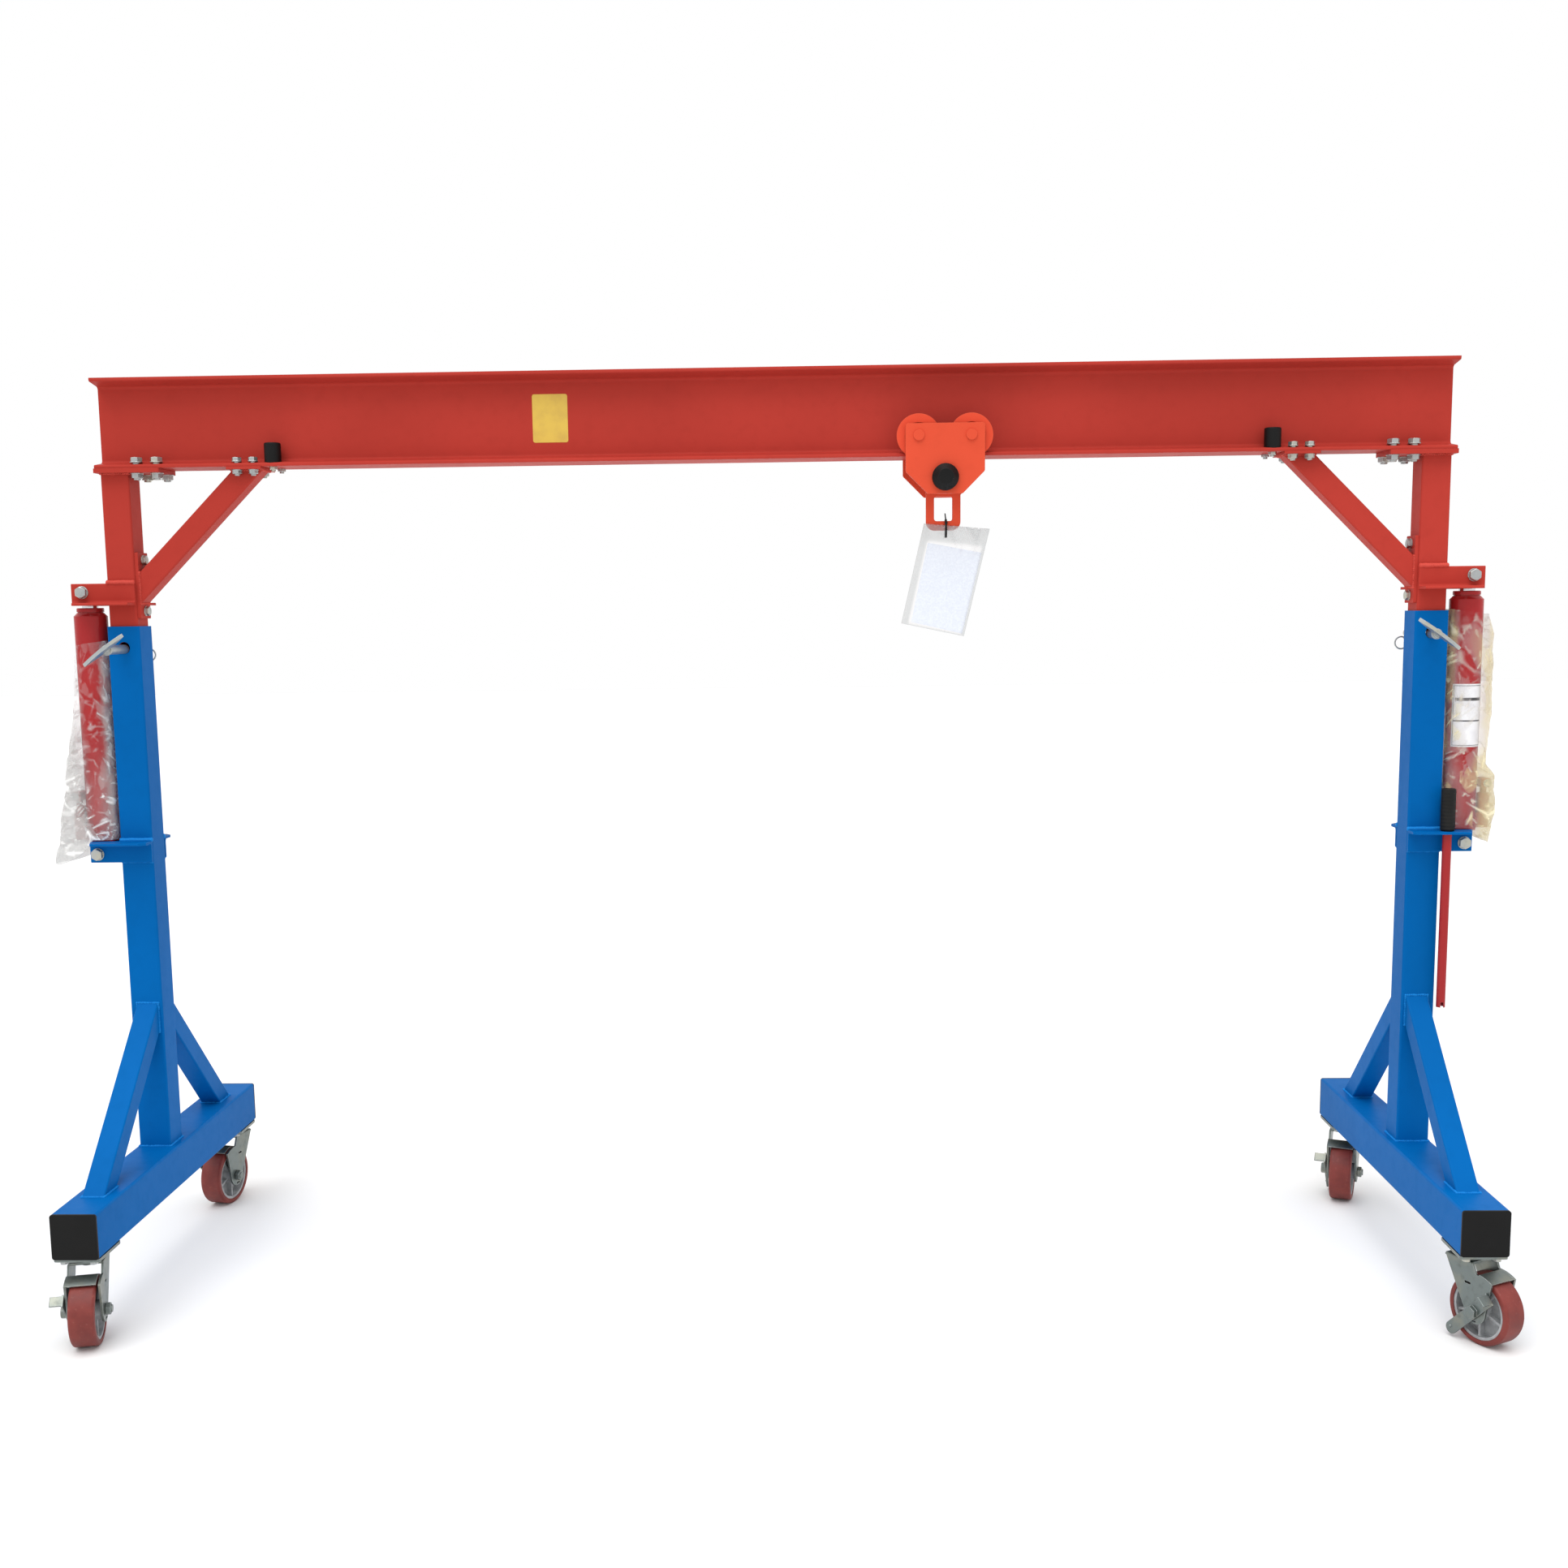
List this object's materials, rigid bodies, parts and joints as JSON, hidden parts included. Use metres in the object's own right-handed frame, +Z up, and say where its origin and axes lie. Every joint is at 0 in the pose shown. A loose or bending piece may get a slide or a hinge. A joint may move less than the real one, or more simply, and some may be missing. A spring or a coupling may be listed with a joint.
{
  "type": "gantry crane",
  "caption": "Mobile A-foot gantry crane with an I-beam on telescoping posts raised by side-mounted jacks, a push trolley on the beam and braked swivel casters.",
  "frame": {"origin": "on the floor, under the middle of the whole crane's box; the posts and beam stand a little behind it because the casters trail forward", "axes": "+X along the beam to the side of the spare jack handle, +Y to the back, +Z up"},
  "size_m": [3.3238, 1.055, 2.084],
  "materials": {
    "red_paint": "satin",
    "blue_paint": "satin",
    "black_plastic": "matte",
    "jack_red": "gloss",
    "chromed_steel": "polished",
    "zinc_plate": "zinc plated",
    "grey_cast": "cast",
    "polyurethane": "satin",
    "orange_paint": "satin",
    "machined_steel": "machined",
    "clear_film": "clear film"
  },
  "bodies": {
    "left_leg": {"left_base_tube": "blue_paint", "left_end_caps": "black_plastic", "left_outer_post": "blue_paint", "left_struts": "blue_paint", "left_lower_brackets": "blue_paint", "left_jack_body": "jack_red", "left_film_bag": "clear_film", "left_caster_plates": "zinc_plate", "left_lock_pin": "zinc_plate", "left_leg_bolts": "zinc_plate"},
    "upper_frame": {"beam": "red_paint", "trolley_stops": "black_plastic", "frame_bolts": "zinc_plate", "left_inner_post": "red_paint", "left_flange_plates": "red_paint", "left_brace": "red_paint", "left_upper_brackets": "red_paint", "left_jack_ram": "chromed_steel", "right_inner_post": "red_paint", "right_flange_plates": "red_paint", "right_brace": "red_paint", "right_upper_brackets": "red_paint", "right_jack_ram": "chromed_steel"},
    "right_leg": {"right_base_tube": "blue_paint", "right_end_caps": "black_plastic", "right_outer_post": "blue_paint", "right_struts": "blue_paint", "right_lower_brackets": "blue_paint", "right_jack_body": "jack_red", "right_film_bag": "clear_film", "right_caster_plates": "zinc_plate", "right_lock_pin": "zinc_plate", "right_leg_bolts": "zinc_plate", "jack_handle": "jack_red", "handle_grip": "black_plastic"},
    "fork_front_left": {"fork_front_left": "zinc_plate"},
    "wheel_front_left": {"wheel_core_front_left": "grey_cast", "tread_front_left": "polyurethane"},
    "brake_front_left": {"brake_lever_front_left": "zinc_plate"},
    "fork_back_left": {"fork_back_left": "zinc_plate"},
    "wheel_back_left": {"wheel_core_back_left": "grey_cast", "tread_back_left": "polyurethane"},
    "brake_back_left": {"brake_lever_back_left": "zinc_plate"},
    "fork_front_right": {"fork_front_right": "zinc_plate"},
    "wheel_front_right": {"wheel_core_front_right": "grey_cast", "tread_front_right": "polyurethane"},
    "brake_front_right": {"brake_lever_front_right": "zinc_plate"},
    "fork_back_right": {"fork_back_right": "zinc_plate"},
    "wheel_back_right": {"wheel_core_back_right": "grey_cast", "tread_back_right": "polyurethane"},
    "brake_back_right": {"brake_lever_back_right": "zinc_plate"},
    "trolley": {"trolley_plates": "orange_paint", "trolley_pins": "machined_steel", "trolley_caps": "black_plastic"},
    "trolley_wheel_front_left": {"trolley_wheel_front_left": "machined_steel"},
    "trolley_wheel_back_left": {"trolley_wheel_back_left": "machined_steel"},
    "trolley_wheel_front_right": {"trolley_wheel_front_right": "machined_steel"},
    "trolley_wheel_back_right": {"trolley_wheel_back_right": "machined_steel"},
    "hanger": {"hanger": "orange_paint", "manual_pouch": "clear_film"}
  },
  "joints": [
    {"name": "lift", "type": "slide", "parent": "left_leg", "child": "upper_frame", "axis": [0, 0, 1], "range_m": [0, 0.45]},
    {"name": "right_leg_slide", "type": "slide", "parent": "upper_frame", "child": "right_leg", "axis": [0, 0, -1], "range_m": [0, 0.45]},
    {"name": "swivel_front_left", "type": "hinge", "parent": "left_leg", "child": "fork_front_left", "pos_m": [-1.482, -0.4135, 0.196], "axis": [0, 0, 1], "continuous": true},
    {"name": "roll_front_left", "type": "hinge", "parent": "fork_front_left", "child": "wheel_front_left", "pos_m": [-1.47345, -0.45053, 0.075], "axis": [0.9744, 0.225, 0], "continuous": true},
    {"name": "brake_front_left", "type": "hinge", "parent": "fork_front_left", "child": "brake_front_left", "pos_m": [-1.47345, -0.45053, 0.075], "axis": [0.9744, 0.225, 0], "range_deg": [0, 25]},
    {"name": "swivel_back_left", "type": "hinge", "parent": "left_leg", "child": "fork_back_left", "pos_m": [-1.482, 0.4665, 0.196], "axis": [0, 0, 1], "continuous": true},
    {"name": "roll_back_left", "type": "hinge", "parent": "fork_back_left", "child": "wheel_back_left", "pos_m": [-1.48925, 0.4292, 0.075], "axis": [0.9816, -0.1908, 0], "continuous": true},
    {"name": "brake_back_left", "type": "hinge", "parent": "fork_back_left", "child": "brake_back_left", "pos_m": [-1.48925, 0.4292, 0.075], "axis": [0.9816, -0.1908, 0], "range_deg": [0, 25]},
    {"name": "swivel_front_right", "type": "hinge", "parent": "right_leg", "child": "fork_front_right", "pos_m": [1.482, -0.4135, 0.196], "axis": [0, 0, 1], "continuous": true},
    {"name": "roll_front_right", "type": "hinge", "parent": "fork_front_right", "child": "wheel_front_right", "pos_m": [1.50002, -0.44696, 0.075], "axis": [0.8805, 0.4741, 0], "continuous": true},
    {"name": "brake_front_right", "type": "hinge", "parent": "fork_front_right", "child": "brake_front_right", "pos_m": [1.50002, -0.44696, 0.075], "axis": [0.8805, 0.4741, 0], "range_deg": [0, 25]},
    {"name": "swivel_back_right", "type": "hinge", "parent": "right_leg", "child": "fork_back_right", "pos_m": [1.482, 0.4665, 0.196], "axis": [0, 0, 1], "continuous": true},
    {"name": "roll_back_right", "type": "hinge", "parent": "fork_back_right", "child": "wheel_back_right", "pos_m": [1.4674, 0.43142, 0.075], "axis": [0.9232, -0.3843, 0], "continuous": true},
    {"name": "brake_back_right", "type": "hinge", "parent": "fork_back_right", "child": "brake_back_right", "pos_m": [1.4674, 0.43142, 0.075], "axis": [0.9232, -0.3843, 0], "range_deg": [0, 25]},
    {"name": "trolley_travel", "type": "slide", "parent": "upper_frame", "child": "trolley", "axis": [1, 0, 0], "range_m": [-1.4015, 0.6155]},
    {"name": "trolley_wheel_spin_front_left", "type": "hinge", "parent": "trolley", "child": "trolley_wheel_front_left", "pos_m": [0.3345, -0.0115, 1.9283], "axis": [0, 1, 0], "range_deg": [-2600, 2600]},
    {"name": "trolley_wheel_spin_back_left", "type": "hinge", "parent": "trolley", "child": "trolley_wheel_back_left", "pos_m": [0.3345, 0.0645, 1.9283], "axis": [0, 1, 0], "range_deg": [-2600, 2600]},
    {"name": "trolley_wheel_spin_front_right", "type": "hinge", "parent": "trolley", "child": "trolley_wheel_front_right", "pos_m": [0.4515, -0.0115, 1.9283], "axis": [0, 1, 0], "range_deg": [-2600, 2600]},
    {"name": "trolley_wheel_spin_back_right", "type": "hinge", "parent": "trolley", "child": "trolley_wheel_back_right", "pos_m": [0.4515, 0.0645, 1.9283], "axis": [0, 1, 0], "range_deg": [-2600, 2600]},
    {"name": "hanger_swing", "type": "hinge", "parent": "trolley", "child": "hanger", "pos_m": [0.393, 0.0265, 1.8363], "axis": [0, 1, 0], "range_deg": [-25, 25]}
  ],
  "couplings": [
    {"joint": "right_leg_slide", "follows": "lift", "ratio": 1},
    {"joint": "trolley_wheel_spin_front_left", "follows": "trolley_travel", "rad_per_m": 29.412},
    {"joint": "trolley_wheel_spin_back_left", "follows": "trolley_travel", "rad_per_m": 29.412},
    {"joint": "trolley_wheel_spin_front_right", "follows": "trolley_travel", "rad_per_m": 29.412},
    {"joint": "trolley_wheel_spin_back_right", "follows": "trolley_travel", "rad_per_m": 29.412}
  ]
}
